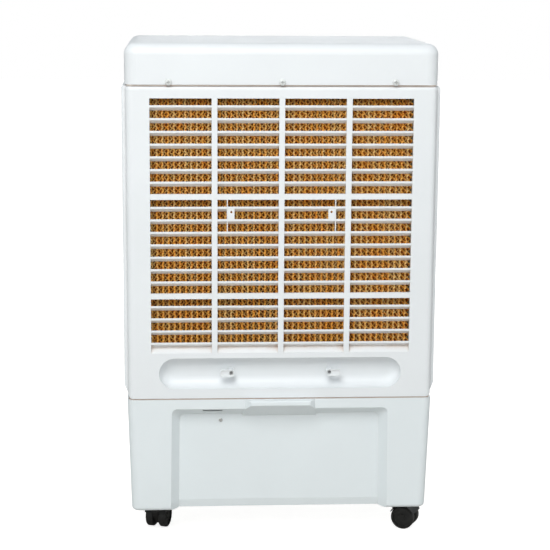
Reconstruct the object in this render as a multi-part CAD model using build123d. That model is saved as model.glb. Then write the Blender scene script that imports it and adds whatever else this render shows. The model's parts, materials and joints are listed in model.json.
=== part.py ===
from build123d import *
import math
import os

# An evaporative cooler on four castors: a water tank below, a cabinet with a wet pad, a fan
# and an outlet above it, and a cap on top.
# Millimetres. X runs across the cooler, Y from the rear face (-) to the front face (+), Z up
# from the floor. The origin is on the floor, under the middle of the cooler.

# Cabinet
DEPTH = 400.0
PANEL_WIDTH = 620.0
COVER_WIDTH = 624.0
SIDE_WIDTH = 636.0
HEIGHT = 1026.0
COVER_HEIGHT = 81.0
TANK_TOP = 305.0
TANK_BOTTOM = 66.0
SEAM = 2.7
WALL = 3.0
REAR = -DEPTH / 2
FRONT = DEPTH / 2
PANEL_BOTTOM = TANK_TOP + SEAM
COVER_BOTTOM = HEIGHT - COVER_HEIGHT
PANEL_TOP = COVER_BOTTOM - SEAM
PANEL_WRAP = 16.0
PANEL_CORNER = 12.0
PANEL_FOOT_CORNER = 10.0
PANEL_TOP_ROUND = 7.0
SIDE_HALF_DEPTH = FRONT - PANEL_WRAP - 2.0
SIDE_INNER = SIDE_WIDTH / 2 - 19.0

# Top cover
COVER_CORNER = 24.0
COVER_ROUND = 22.0
COVER_FOOT = 8.0
COVER_FOOT_HEIGHT = 4.0
SCREW_SPACING = 225.0
SCREW_DROP = 5.2
SCREW_HEAD_RADIUS = 6.8
SCREW_HEAD_HEIGHT = 6.0
SCREW_SHANK_RADIUS = 2.0
SCREW_HOLE_RADIUS = 2.2

# Rear grille
GRILLE_WIDTH = 525.0
GRILLE_TOP = 918.2
GRILLE_BOTTOM = 402.2
COLUMNS = 4
BAR_WIDTH = 11.5
SLAT_COUNT = 20
SLAT_PITCH = 25.25
FIRST_SLAT = 904.8
SLAT_EDGE = 4.3
SLAT_THICK = 2.2
SLAT_REACH = 11.4
SLAT_SLOPE = math.radians(36.5)
CROSS_BAR_SLATS = (7, 15)
CROSS_BAR_HEIGHT = 11.5
RIM_REACH = 7.0
TAB_SLAT = 8
TAB_INNER = 94.25
TAB_HOLE_X = 100.6
TAB_HOLE_RADIUS = 2.3
RIB_CENTRE = 108.7
RIB_WIDTH = 2.0

# Trough with the two cord hooks, below the grille
TROUGH_WIDTH = 494.0
TROUGH_HEIGHT = 64.0
TROUGH_CENTRE = 359.6
TROUGH_DEPTH = 25.0
TROUGH_ROUND = 21.0
HOOK_CENTRE = 108.5
HOOK_LENGTH = 31.0
HOOK_HEIGHT = 15.0
HOOK_PLATE = 5.0
HOOK_POST_RADIUS = 6.5

# Tank
TANK_TAPER = 7.0
TANK_CORNER = 16.0
TANK_EDGE_ROUND = 8.0
RECESS_TOP_HALF = 221.5
RECESS_FOOT_HALF = 225.0
RECESS_DROP = 20.0
RECESS_DEPTH = 24.0
RECESS_SIDE_DRAFT = 16.0 / 24.0
RECESS_TOP_DRAFT = 17.4 / 24.0
RECESS_CORNER = 11.0
RECESS_FOOT_HEIGHT = 17.0
RECESS_FOOT_SLANT = 3.5
GRIP_FRONT_HALF = 61.0
GRIP_FACE_HALF = 71.5
GRIP_ROOT_HALF = 76.5
GRIP_REACH = 15.0
GRIP_TOP = 304.0
GRIP_LIP = 9.0
GRIP_EDGE = 2.0
GRIP_ROOT_BOTTOM = 264.0
SMALL_SCREW = (-121.5, 255.0)
SLOT = (-158.0, -118.0)
SLOT_HEIGHT = 3.4

# Air path
FAN_HEIGHT = 670.0
FAN_RADIUS = 190.0
HUB_RADIUS = 44.0
FAN_CENTRE_Y = 44.0
FAN_DEPTH = 40.0
BLADE_COUNT = 5
SHROUD_RADIUS = 196.0
SHROUD_Y = 66.0
SHROUD_LIP_Y = 20.0
SHAFT_RADIUS = 5.0
MOTOR_RADIUS = 55.0
MOTOR_BACK = -62.0
MOTOR_FRONT = 8.0
OUTLET_WIDTH = 440.0
OUTLET_HEIGHT = 300.0
COLLAR_BACK = 98.0
RUNNING = 0.05
PIVOT_RADIUS = 2.5
LINK_PIN_RADIUS = 1.5
LINK_HALF = 4.0
LOUVER_COUNT = 5
LOUVER_Y = 176.0
LOUVER_HALF_CHORD = 20.0
LOUVER_THICK = 3.0
LOUVER_CRANK = 28.0
LOUVER_LINK_X = 150.3
VANE_COUNT = 5
VANE_Y = 112.0
VANE_HALF_CHORD = 20.0
VANE_THICK = 2.5
VANE_CRANK = 27.0
VANE_LINK_Z = FAN_HEIGHT
LINK_THICK = 3.0

# Wet pad and water
PAD_HALF = 264.0
PAD_BOTTOM = 398.0
PAD_TOP = 925.5
PAD_BACK = -183.5
PAD_FRONT = -103.0
BULKHEAD_Y = -100.0
PUMP_X = -230.0
PUMP_Y = -60.0
HOSE_RADIUS = 6.0
HOSE_BORE = 4.0
HOSE_TOP = 933.5
HOSE_BEND = 30.0
HOSE_START = 150.0
INLET_Y = 85.0
INLET_Z = 255.0
INLET_POCKET_FLOOR = 286.0
FLOAT_PIVOT_X = 254.0
BALL_CENTRE = (140.0, 85.0, 230.0)
BALL_RADIUS = 28.0
DRAIN = (150.0, 110.0)
DRAIN_RADIUS = 9.0

# Front details
DOOR_HALF = 77.0
DOOR_BOTTOM = 331.0
DOOR_TOP = 397.0
DOOR_AXIS_Y = 195.0
DOOR_AXIS_Z = 335.0
CONTROL_WIDTH = 500.0
CONTROL_BOTTOM = 878.0
CONTROL_TOP = 934.0
CONTROL_THICK = 3.0
KNOBS = {"knob_speed": -150.0, "knob_function": 0.0, "knob_timer": 150.0}
KNOB_SHAFT_RADIUS = 3.0
WINDOW_X = 190.0

# Castors: (name, stem x, stem y, angle of the trail in degrees, has a brake)
CASTOR_X = 257.0
CASTOR_Y = 112.0
CASTORS = [
    ("rear_left", -CASTOR_X, -CASTOR_Y, 72.0, False),
    ("rear_right", CASTOR_X, -CASTOR_Y, -27.0, False),
    ("front_left", -CASTOR_X, CASTOR_Y, 100.0, True),
    ("front_right", CASTOR_X, CASTOR_Y, 72.0, True),
]
WHEEL_RADIUS = 25.0
WHEEL_INNER = 5.5
WHEEL_OUTER = 22.5
WHEEL_ROUND = 4.5
TRAIL = 19.0
AXLE_RADIUS = 3.0
STEM_RADIUS = 5.0
STEM_TOP = 86.0
HOOD_RADIUS = 28.0
HOOD_FOOT = 36.0
SOCKET_RADIUS = 9.0
PEDAL_PIVOT = (38.0, 51.0)


# ---------------------------------------------------------------- helpers

def block(x0, x1, y0, y1, z0, z1):
    """A plain block between two corners."""
    return Pos((x0 + x1) / 2, (y0 + y1) / 2, (z0 + z1) / 2) * Box(x1 - x0, y1 - y0, z1 - z0)


def rod(start, end, radius):
    """A round bar from one point to another."""
    along = Vector(*end) - Vector(*start)
    plane = Plane(origin=start, z_dir=along)
    return plane * Cylinder(radius, along.length, align=(Align.CENTER, Align.CENTER, Align.MIN))


def slab(width, depth, corner, z0, z1):
    """An upright block with rounded vertical corners, centred on the Z axis."""
    return extrude(Pos(0, 0, z0) * RectangleRounded(width, depth, corner), z1 - z0)


def through_y(sketch, y0, y1):
    """Extrude a sketch drawn in X and Z from y0 to y1."""
    return extrude(Plane.XZ.offset(-y1) * sketch, y1 - y0)


def through_x(sketch, x0, x1):
    """Extrude a sketch drawn in Y and Z from x0 to x1."""
    return extrude(Plane.YZ.offset(x0) * sketch, x1 - x0)


def polygon(*points):
    """A flat face through the given corners."""
    return make_face(Polyline(*points, close=True))


def mirrored_x(shape):
    """The same shape on the other side of the middle plane."""
    return mirror(shape, Plane.YZ)


def spread(count, pitch):
    """Places of count things, centred on 0, pitch apart."""
    return [(i - (count - 1) / 2) * pitch for i in range(count)]


# ---------------------------------------------------------------- tank and deck

def tank_block(inset, z0):
    """The tank's drafted body, drawn in by inset, from z0 up to its top."""
    drawn_in = TANK_TAPER * (TANK_TOP - z0) / (TANK_TOP - TANK_BOTTOM)
    top = Pos(0, 0, TANK_TOP) * RectangleRounded(
        COVER_WIDTH - 2 * inset, DEPTH - 2 * inset, TANK_CORNER - inset)
    low = Pos(0, 0, z0) * RectangleRounded(
        COVER_WIDTH - 2 * (inset + drawn_in), DEPTH - 2 * (inset + drawn_in), TANK_CORNER - inset)
    body = loft([low, top], ruled=True)
    return fillet(body.faces().sort_by(Axis.Z)[0].edges(), TANK_EDGE_ROUND - inset)


def recess_floor(z):
    """Where the recess's leaning floor stands at a height."""
    return REAR + RECESS_DEPTH + TANK_TAPER * (TANK_TOP - z) / (TANK_TOP - TANK_BOTTOM)


def recess_foot(grow):
    """The section of the recess's slanted foot, in Y and Z."""
    high = TANK_BOTTOM + RECESS_FOOT_HEIGHT + grow
    low = TANK_BOTTOM - 2.0
    slant = (recess_floor(low) + RECESS_FOOT_SLANT - recess_floor(high)) / (high - low)
    return polygon((recess_floor(high) - 5.0, high), (recess_floor(high) + grow, high),
                   (recess_floor(high) + grow + slant * (high - low), low), (recess_floor(high) - 5.0, low))


def rear_recess(grow):
    """The wide recess in the tank's rear wall; grow makes the same shape one wall larger."""
    leaning = Plane(
        origin=(0, REAR, TANK_TOP), x_dir=(1, 0, 0), z_dir=(0, TANK_BOTTOM - TANK_TOP, -TANK_TAPER))
    height = 300.0
    spread_out = (RECESS_FOOT_HALF - RECESS_TOP_HALF) * height / (TANK_TOP - TANK_BOTTOM)

    def outline(depth):
        half = RECESS_TOP_HALF - depth * RECESS_SIDE_DRAFT + grow
        top = grow - RECESS_DROP - depth * RECESS_TOP_DRAFT
        foot_half = half + spread_out
        foot = top - height
        face = polygon((-half, top), (half, top), (foot_half, foot), (-foot_half, foot))
        return leaning.offset(-depth) * fillet(face.vertices().group_by(Axis.Y)[-1], RECESS_CORNER)

    recess = loft([outline(-2.0), outline(RECESS_DEPTH + grow)], ruled=True)
    foot_half = RECESS_FOOT_HALF - RECESS_DEPTH * RECESS_SIDE_DRAFT + grow
    return recess + through_x(recess_foot(grow), -foot_half, foot_half)


def inlet_pocket(grow):
    """The pocket for the water inlet in the tank's right side."""
    return block(INLET_POCKET_FLOOR - grow, COVER_WIDTH / 2 + 5, INLET_Y - 25 - grow,
                 INLET_Y + 25 + grow, INLET_Z - 25 - grow, INLET_Z + 25 + grow)


def grip():
    """The ledge over the recess, by which the tank is pulled."""
    root_y = REAR + RECESS_DEPTH + 1
    front = REAR - GRIP_REACH
    side = polygon((front + GRIP_EDGE, GRIP_TOP), (front, GRIP_TOP - GRIP_EDGE), (front, GRIP_TOP - GRIP_LIP),
                   (root_y, GRIP_ROOT_BOTTOM), (root_y, GRIP_TOP))
    plan = polygon((-GRIP_FRONT_HALF, front), (GRIP_FRONT_HALF, front),
                   (GRIP_FACE_HALF, REAR), (GRIP_ROOT_HALF, root_y),
                   (-GRIP_ROOT_HALF, root_y), (-GRIP_FACE_HALF, REAR))
    column = extrude(Pos(0, 0, GRIP_ROOT_BOTTOM) * plan, GRIP_TOP - GRIP_ROOT_BOTTOM)
    return through_x(side, -GRIP_ROOT_HALF, GRIP_ROOT_HALF) & column


def window_region(low_inset, high_inset, half_width, z0, z1):
    """A strip of the tank's sloping front wall between two depths."""
    strip = block(WINDOW_X - half_width, WINDOW_X + half_width, 0, FRONT + 5, z0, z1)
    return (tank_block(high_inset, TANK_BOTTOM) - tank_block(low_inset, TANK_BOTTOM)) & strip


def water_tank():
    floor = TANK_BOTTOM + WALL
    cavity = tank_block(WALL, floor) - rear_recess(WALL) - inlet_pocket(WALL)
    tank = tank_block(0, TANK_BOTTOM) - rear_recess(0) - inlet_pocket(0) - cavity
    tank += grip() - cavity
    for _, x, y, _, _ in CASTORS:
        tank += rod((x, y, TANK_BOTTOM), (x, y, STEM_TOP + 6), SOCKET_RADIUS + 5)
        tank -= rod((x, y, TANK_BOTTOM - 1), (x, y, STEM_TOP + 2), SOCKET_RADIUS)
    drain_x, drain_y = DRAIN
    tank += rod((drain_x, drain_y, TANK_BOTTOM - 10), (drain_x, drain_y, floor), DRAIN_RADIUS + 7)
    tank -= rod((drain_x, drain_y, TANK_BOTTOM - 11), (drain_x, drain_y, floor + 1), DRAIN_RADIUS)
    tank -= rod((INLET_POCKET_FLOOR - 5, INLET_Y, INLET_Z), (INLET_POCKET_FLOOR + 1, INLET_Y, INLET_Z), 10)
    tank -= block(WINDOW_X - 5, WINDOW_X + 5, FRONT - 20, FRONT + 1, 112, 268)
    tank -= window_region(1.5, -2.0, 9, 104, 276)
    tank -= block(SLOT[0], SLOT[1], REAR - 1, REAR + 15, 279.5 - SLOT_HEIGHT / 2, 279.5 + SLOT_HEIGHT / 2)
    screw_x, screw_z = SMALL_SCREW
    tank -= rod((screw_x, REAR + 10, screw_z), (screw_x, REAR + 40, screw_z), 1.5)
    return tank


def level_window():
    return window_region(1.5, -1.2, 9, 104, 276)


def tank_screw():
    """The small pan-head screw in the recess, standing on the recess's floor."""
    x, z = SMALL_SCREW
    floor_y = recess_floor(z)
    head = rod((x, floor_y - 3.0, z), (x, floor_y - 0.4, z), 3.8)
    head = fillet(head.edges().group_by(Axis.Y)[0], 1.6)
    screw = head + rod((x, floor_y - 1, z), (x, floor_y + 6, z), 1.4)
    screw -= block(x - 2.3, x + 2.3, floor_y - 4, floor_y - 1.6, z - 0.5, z + 0.5)
    return screw - block(x - 0.5, x + 0.5, floor_y - 4, floor_y - 1.6, z - 2.3, z + 2.3)


def deck_plate():
    """The plate that closes the tank and carries the cabinet, with a lip inside the tank."""
    lip = slab(COVER_WIDTH - 2 * WALL - 1.2, DEPTH - 2 * WALL - 1.2, 12, TANK_TOP - 9, TANK_TOP)
    lip -= slab(COVER_WIDTH - 2 * WALL - 7, DEPTH - 2 * WALL - 7, 9, TANK_TOP - 10, TANK_TOP + 1)
    plate = slab(COVER_WIDTH - 8, DEPTH - 4, 12, TANK_TOP, PANEL_BOTTOM) + lip
    plate -= block(-75, 75, 125, 180, TANK_TOP - 1, PANEL_BOTTOM + 1)
    plate -= rod((PUMP_X, PUMP_Y, TANK_TOP - 1), (PUMP_X, PUMP_Y, PANEL_BOTTOM + 1), 10)
    for x in spread(6, 70):
        plate -= block(x - 25, x + 25, -150, -138, TANK_TOP - 1, PANEL_BOTTOM + 1)
    return plate


# ---------------------------------------------------------------- cabinet

def end_panel_block(inset):
    """A rear panel's outline, drawn in by inset: rounded upright edges, foot corners and top."""
    half = PANEL_WIDTH / 2 - inset
    y0 = REAR + inset
    y1 = REAR + PANEL_WRAP + (1 if inset else 0)
    z0 = PANEL_BOTTOM + inset
    z1 = PANEL_TOP - inset
    panel = block(-half, half, y0, y1, z0, z1)
    rear_uprights = panel.edges().filter_by(Axis.Z).group_by(Axis.Y)[0]
    panel = fillet(rear_uprights, PANEL_CORNER - inset)
    top_edges = panel.faces().sort_by(Axis.Z)[-1].edges().filter_by(lambda e: e.center().Y < y1 - 0.01)
    rear_top = [edge for edge in top_edges if edge.length > 100 and abs(edge.center().X) < 1]
    panel = fillet(rear_top, PANEL_TOP_ROUND - inset)
    foot = PANEL_FOOT_CORNER - inset
    face = Pos(0, (z0 + z1) / 2) * Rectangle(2 * half, z1 - z0)
    low_corners = face.vertices().group_by(Axis.Y)[0]
    return panel & through_y(fillet(low_corners, foot), y0 - 1, y1 + 1)


def panel_shell():
    """A rear or front panel's skin with its turned-in edges, as the rear one stands."""
    return end_panel_block(0) - end_panel_block(WALL)


def trough_block(grow):
    """The long rounded trough, or its outside when grown by a wall."""
    bottom_y = REAR + TROUGH_DEPTH + grow
    outline = Pos(0, TROUGH_CENTRE) * SlotOverall(TROUGH_WIDTH + 2 * grow, TROUGH_HEIGHT + 2 * grow)
    trough = through_y(outline, REAR - (0 if grow else 1), bottom_y)
    inner_edges = trough.faces().sort_by(Axis.Y)[-1].edges()
    return fillet(inner_edges, TROUGH_ROUND + grow)


def rear_frame():
    frame = panel_shell()
    grille_height = GRILLE_TOP - GRILLE_BOTTOM
    opening = Pos(0, GRILLE_BOTTOM + grille_height / 2) * Rectangle(GRILLE_WIDTH, grille_height)
    frame -= through_y(opening, REAR - 1, REAR + 10)
    frame += trough_block(WALL)
    return frame - trough_block(0)


def slat(top):
    """One slat's section in Y and Z: an upright front edge, then a slope down and inward."""
    front = REAR + 0.3
    run = SLAT_REACH * math.cos(SLAT_SLOPE)
    fall = SLAT_REACH * math.sin(SLAT_SLOPE)
    return polygon((front, top), (front, top - SLAT_EDGE), (front + run, top - SLAT_EDGE - fall),
                   (front + run, top - SLAT_EDGE - fall + SLAT_THICK),
                   (front + SLAT_THICK, top - 0.6))


def rear_louvers():
    half = GRILLE_WIDTH / 2
    rim = block(-half - RIM_REACH, half + RIM_REACH, REAR + WALL, REAR + WALL + 4,
                GRILLE_BOTTOM - RIM_REACH, GRILLE_TOP + RIM_REACH)
    rim -= block(-half, half, REAR, REAR + 20, GRILLE_BOTTOM, GRILLE_TOP)
    grille = rim
    for i in range(SLAT_COUNT):
        top = FIRST_SLAT - i * SLAT_PITCH
        if i in CROSS_BAR_SLATS:
            grille += block(-half, half, REAR, REAR + 6, top - CROSS_BAR_HEIGHT, top)
        else:
            grille += through_x(slat(top), -half, half)
    column = (GRILLE_WIDTH - (COLUMNS - 1) * BAR_WIDTH) / COLUMNS + BAR_WIDTH
    for x in spread(COLUMNS - 1, column):
        grille += block(x - BAR_WIDTH / 2, x + BAR_WIDTH / 2, REAR, REAR + 7, GRILLE_BOTTOM, GRILLE_TOP)
    sill = polygon((REAR, GRILLE_BOTTOM), (REAR + 6, GRILLE_BOTTOM), (REAR + 14, GRILLE_BOTTOM + 11),
                   (REAR + 14, GRILLE_BOTTOM + 16))
    grille += through_x(sill, -half, half)
    tab_top = FIRST_SLAT - TAB_SLAT * SLAT_PITCH - SLAT_EDGE
    rib_top = FIRST_SLAT - CROSS_BAR_SLATS[0] * SLAT_PITCH - CROSS_BAR_HEIGHT
    tab_bottom = FIRST_SLAT - (TAB_SLAT + 1) * SLAT_PITCH - 1
    for side in (-1, 1):
        ends = sorted((side * TAB_INNER, side * RIB_CENTRE))
        grille += block(ends[0], ends[1], REAR + 1, REAR + 4, tab_bottom, tab_top + 1)
        x = side * RIB_CENTRE
        grille += block(x - RIB_WIDTH / 2, x + RIB_WIDTH / 2, REAR + 0.6, REAR + 6,
                        rib_top - 65, rib_top + 1)
        x = side * TAB_HOLE_X
        grille -= rod((x, REAR - 1, tab_top - 7), (x, REAR + 5, tab_top - 7), TAB_HOLE_RADIUS)
    return grille


def cord_hook():
    """The hook left of the middle: a post out of the trough and a dished oval plate."""
    z = TROUGH_CENTRE
    post_x = HOOK_HEIGHT / 2 - HOOK_CENTRE + HOOK_LENGTH / 2 - HOOK_HEIGHT
    plate = Pos(-HOOK_CENTRE, z) * SlotOverall(HOOK_LENGTH, HOOK_HEIGHT)
    dish = Pos(-HOOK_CENTRE, z) * SlotOverall(HOOK_LENGTH - 4, HOOK_HEIGHT - 4)
    front = REAR + 0.5
    hook = through_y(plate, front, front + HOOK_PLATE)
    hook += rod((post_x, front + 1, z), (post_x, REAR + TROUGH_DEPTH, z), HOOK_POST_RADIUS)
    hook -= through_y(dish, front - 1, front + 2)
    return hook - rod((post_x, front - 1, z), (post_x, front + 9, z), 3.8)


def side_panel_section(inset):
    """A side panel's section in X and Z, right-hand side, with its slanted foot."""
    outer = SIDE_WIDTH / 2
    shoulder = PANEL_WIDTH / 2
    return polygon((SIDE_INNER - (1 if inset else 0), PANEL_BOTTOM + inset),
                   (shoulder - 3 - inset, PANEL_BOTTOM + inset),
                   (shoulder - inset, PANEL_BOTTOM + 7 + inset / 2),
                   (outer - inset, PANEL_BOTTOM + 26 + inset / 3),
                   (outer - inset, PANEL_TOP - 4 - inset / 2),
                   (outer - 4 - inset / 2, PANEL_TOP - inset),
                   (SIDE_INNER - (1 if inset else 0), PANEL_TOP - inset))


def side_panel_right():
    """A hollow side panel with a recessed hand grip and two shallow grooves."""
    outer = SIDE_WIDTH / 2
    panel = through_y(side_panel_section(0), -SIDE_HALF_DEPTH, SIDE_HALF_DEPTH)
    panel = fillet(panel.edges().filter_by(Axis.Z).group_by(Axis.X)[-1], 4.0)
    panel -= through_y(side_panel_section(WALL), WALL - SIDE_HALF_DEPTH, SIDE_HALF_DEPTH - WALL)
    panel += block(285, outer - 2, -65, 61, 777, 828)
    panel -= block(285 + WALL, outer + 1, -62, 58, 780, 825)
    for y in (-150, 150):
        panel -= block(outer - 1, outer + 1, y - 1.5, y + 1.5, 430, 900)
    return panel


def side_panel_left():
    return mirrored_x(side_panel_right())


def side_panel_right_with_gland_seat():
    """The right-hand panel also has the round dimple that holds the cord gland."""
    outer = SIDE_WIDTH / 2
    panel = side_panel_right()
    panel += rod((300, -150, 370), (outer - 1, -150, 370), 23)
    panel -= rod((303, -150, 370), (outer + 1, -150, 370), 20)
    return panel - rod((299, -150, 370), (304, -150, 370), 8)


def cord_gland():
    gland = rod((303, -150, 370), (306, -150, 370), 12)
    gland += rod((285, -150, 370), (303, -150, 370), 7.9)
    gland += through_x(Pos(-150, 370) * RegularPolygon(12, 6), 294, 300)
    return gland - rod((284, -150, 370), (307, -150, 370), 4)


def upper_frame():
    """The ring that ties the panels together and takes the top cover's screws."""
    inner = (560.0, 340.0)
    plate = slab(COVER_WIDTH - 8, DEPTH - 4, 12, PANEL_TOP, COVER_BOTTOM)
    foot = COVER_FOOT + 0.3
    corner = COVER_CORNER - COVER_FOOT
    plate += slab(COVER_WIDTH - 2 * foot, DEPTH - 2 * foot, corner, COVER_BOTTOM, COVER_BOTTOM + 15)
    plate -= slab(COVER_WIDTH - 2 * foot - 8, DEPTH - 2 * foot - 8, corner - 4, COVER_BOTTOM,
                  COVER_BOTTOM + 16)
    plate -= slab(inner[0], inner[1], 10, PANEL_TOP - 1, COVER_BOTTOM + 1)
    z = COVER_BOTTOM + SCREW_DROP
    for x in spread(3, SCREW_SPACING):
        plate -= rod((x, REAR, z), (x, REAR + 20, z), SCREW_HOLE_RADIUS)
    return plate


def top_cover():
    cover = slab(COVER_WIDTH, DEPTH, COVER_CORNER, COVER_BOTTOM, HEIGHT)
    cover = fillet(cover.faces().sort_by(Axis.Z)[-1].edges(), COVER_ROUND)
    cavity = slab(COVER_WIDTH - 2 * WALL, DEPTH - 2 * WALL, COVER_CORNER - WALL,
                  COVER_BOTTOM + COVER_FOOT_HEIGHT, HEIGHT - WALL)
    cavity = fillet(cavity.faces().sort_by(Axis.Z)[-1].edges(), COVER_ROUND - WALL)
    cavity += slab(COVER_WIDTH - 2 * COVER_FOOT, DEPTH - 2 * COVER_FOOT, COVER_CORNER - COVER_FOOT,
                   COVER_BOTTOM - 1, COVER_BOTTOM + COVER_FOOT_HEIGHT + 1)
    cover -= cavity
    z = COVER_BOTTOM + SCREW_DROP
    for x in spread(3, SCREW_SPACING):
        cover -= rod((x, REAR - 1, z), (x, REAR + 12, z), SCREW_HOLE_RADIUS)
    return cover


def cover_screw(x):
    """A pan-head cross screw through the cover's rear skirt into the upper frame."""
    z = COVER_BOTTOM + SCREW_DROP
    head = rod((x, REAR - SCREW_HEAD_HEIGHT, z), (x, REAR, z), SCREW_HEAD_RADIUS)
    head = fillet(head.edges().group_by(Axis.Y)[0], 3.5)
    head += rod((x, REAR - 1, z), (x, REAR + 13, z), SCREW_SHANK_RADIUS)
    top = REAR - SCREW_HEAD_HEIGHT
    head -= block(x - 3.6, x + 3.6, top - 1, top + 2.4, z - 0.7, z + 0.7)
    return head - block(x - 0.7, x + 0.7, top - 1, top + 2.4, z - 3.6, z + 3.6)


def top_cover_screws():
    return Compound([cover_screw(x) for x in spread(3, SCREW_SPACING)])


# ---------------------------------------------------------------- front

def front_panel():
    """The front skin with the outlet's collar, the fill mouth and the door's two ears."""
    panel = mirror(panel_shell(), Plane.XZ)
    half = OUTLET_WIDTH / 2
    low = FAN_HEIGHT - OUTLET_HEIGHT / 2
    high = FAN_HEIGHT + OUTLET_HEIGHT / 2
    panel += block(-half - WALL, half + WALL, COLLAR_BACK, FRONT - 1, low - WALL, high + WALL)
    panel -= block(-half, half, COLLAR_BACK - 1, FRONT + 1, low, high)
    for z in louver_heights():
        panel -= rod((-half - 5, LOUVER_Y, z), (half + 5, LOUVER_Y, z), PIVOT_RADIUS + RUNNING)
    for x in vane_places():
        panel -= rod((x, VANE_Y, low - 5), (x, VANE_Y, high + 5), PIVOT_RADIUS + RUNNING)
    panel -= block(-DOOR_HALF - 1, DOOR_HALF + 1, FRONT - 10, FRONT + 1, DOOR_BOTTOM - 2.5, DOOR_TOP + 1)
    for side in (-1, 1):
        ends = sorted((side * (DOOR_HALF + 1.5), side * (DOOR_HALF + 7)))
        panel += block(ends[0], ends[1], 188, FRONT - 1, DOOR_AXIS_Z - 6, DOOR_AXIS_Z + 6)
    panel -= rod((-DOOR_HALF - 6, DOOR_AXIS_Y, DOOR_AXIS_Z), (DOOR_HALF + 6, DOOR_AXIS_Y, DOOR_AXIS_Z),
                 2 + RUNNING)
    control_middle = (CONTROL_BOTTOM + CONTROL_TOP) / 2
    for x in KNOBS.values():
        panel -= rod((x, FRONT - 10, control_middle), (x, FRONT + 1, control_middle),
                     KNOB_SHAFT_RADIUS + RUNNING)
    return panel


def louver_heights():
    return [FAN_HEIGHT + z for z in spread(LOUVER_COUNT, OUTLET_HEIGHT / LOUVER_COUNT)]


def vane_places():
    return spread(VANE_COUNT, OUTLET_WIDTH / VANE_COUNT)


def louver(z, has_tab):
    """One level outlet blade with its two end pins and the crank pin for the link bar."""
    half = OUTLET_WIDTH / 2 - 1.5
    section = Pos(LOUVER_Y, z) * SlotOverall(2 * LOUVER_HALF_CHORD, LOUVER_THICK)
    blade = through_x(section, -half, half)
    for side in (-1, 1):
        blade += rod((side * (half - 5), LOUVER_Y, z), (side * (half + 5.5), LOUVER_Y, z), PIVOT_RADIUS)
    back = LOUVER_Y - LOUVER_CRANK
    crank_x = LOUVER_LINK_X - 0.8
    blade += block(crank_x - 3, crank_x, back - 2.5, LOUVER_Y - LOUVER_HALF_CHORD + 3, z - 1.5, z + 1.5)
    pin_end = LOUVER_LINK_X + LINK_THICK + 1.5
    blade += rod((crank_x - 1, back, z), (pin_end, back, z), LINK_PIN_RADIUS)
    if has_tab:
        edge = LOUVER_Y + LOUVER_HALF_CHORD
        blade += through_x(Pos(edge + 3, z) * SlotOverall(16, 5), -14, 14)
    return blade


def louver_link():
    """The upright bar that makes all the level blades tilt together."""
    back = LOUVER_Y - LOUVER_CRANK
    heights = louver_heights()
    height = heights[-1] - heights[0] + 2 * LINK_HALF + 4
    bar = Pos(back, FAN_HEIGHT) * SlotOverall(height, 2 * LINK_HALF, rotation=90)
    bar = through_x(bar, LOUVER_LINK_X, LOUVER_LINK_X + LINK_THICK)
    for z in heights:
        bar -= rod((LOUVER_LINK_X - 1, back, z), (LOUVER_LINK_X + LINK_THICK + 1, back, z),
                   LINK_PIN_RADIUS + RUNNING)
    return bar


def vane(x, drives):
    """One upright vane; the driven one has a longer lower pin, into the swing motor."""
    low = FAN_HEIGHT - OUTLET_HEIGHT / 2
    high = FAN_HEIGHT + OUTLET_HEIGHT / 2
    section = Pos(x, VANE_Y) * SlotOverall(2 * VANE_HALF_CHORD, VANE_THICK, rotation=90)
    plate = extrude(Pos(0, 0, low + 1) * section, OUTLET_HEIGHT - 2)
    lower_end = low - (18 if drives else 5)
    plate += rod((x, VANE_Y, lower_end), (x, VANE_Y, low + 6), PIVOT_RADIUS)
    plate += rod((x, VANE_Y, high - 6), (x, VANE_Y, high + 5), PIVOT_RADIUS)
    back = VANE_Y - VANE_CRANK
    crank_z = VANE_LINK_Z + LINK_THICK / 2 + 0.8
    plate += block(x - 1.25, x + 1.25, back - 2.5, VANE_Y - VANE_HALF_CHORD + 3, crank_z, crank_z + 3.5)
    return plate + rod((x, back, crank_z + 1), (x, back, VANE_LINK_Z - LINK_THICK / 2 - 1.5),
                       LINK_PIN_RADIUS)


def vane_link():
    """The level bar that makes all the upright vanes swing together."""
    back = VANE_Y - VANE_CRANK
    places = vane_places()
    length = places[-1] - places[0] + 2 * LINK_HALF + 4
    bar = extrude(Pos(0, back, VANE_LINK_Z - LINK_THICK / 2) * SlotOverall(length, 2 * LINK_HALF),
                  LINK_THICK)
    for x in places:
        bar -= rod((x, back, VANE_LINK_Z - 5), (x, back, VANE_LINK_Z + 5), LINK_PIN_RADIUS + RUNNING)
    return bar


def swing_motor():
    """A small geared motor under the collar, turning the first vane."""
    x = vane_places()[0]
    top = FAN_HEIGHT - OUTLET_HEIGHT / 2 - WALL
    motor = rod((x, VANE_Y, top - 26), (x, VANE_Y, top), 20)
    motor += block(x - 28, x + 28, VANE_Y - 5, VANE_Y + 5, top - 2, top)
    return motor - rod((x, VANE_Y, top - 18), (x, VANE_Y, top + 1), PIVOT_RADIUS + RUNNING)


def fill_door():
    """The water door: a flap with two cheeks, hinged on pins near its lower edge."""
    door = block(-DOOR_HALF, DOOR_HALF, FRONT - WALL, FRONT, DOOR_BOTTOM, DOOR_TOP)
    cheek = polygon((FRONT - 2, DOOR_BOTTOM), (190, DOOR_AXIS_Z), (170, DOOR_TOP - 12),
                    (FRONT - 2, DOOR_TOP))
    for side in (-1, 1):
        ends = sorted((side * (DOOR_HALF - WALL), side * DOOR_HALF))
        door += through_x(cheek, ends[0], ends[1])
        door += rod((side * (DOOR_HALF - 1), DOOR_AXIS_Y, DOOR_AXIS_Z),
                    (side * (DOOR_HALF + 5), DOOR_AXIS_Y, DOOR_AXIS_Z), 2)
    lip = through_y(Pos(0, DOOR_TOP - 8) * SlotOverall(60, 7), FRONT - 1, FRONT + 6)
    return door + lip


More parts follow.
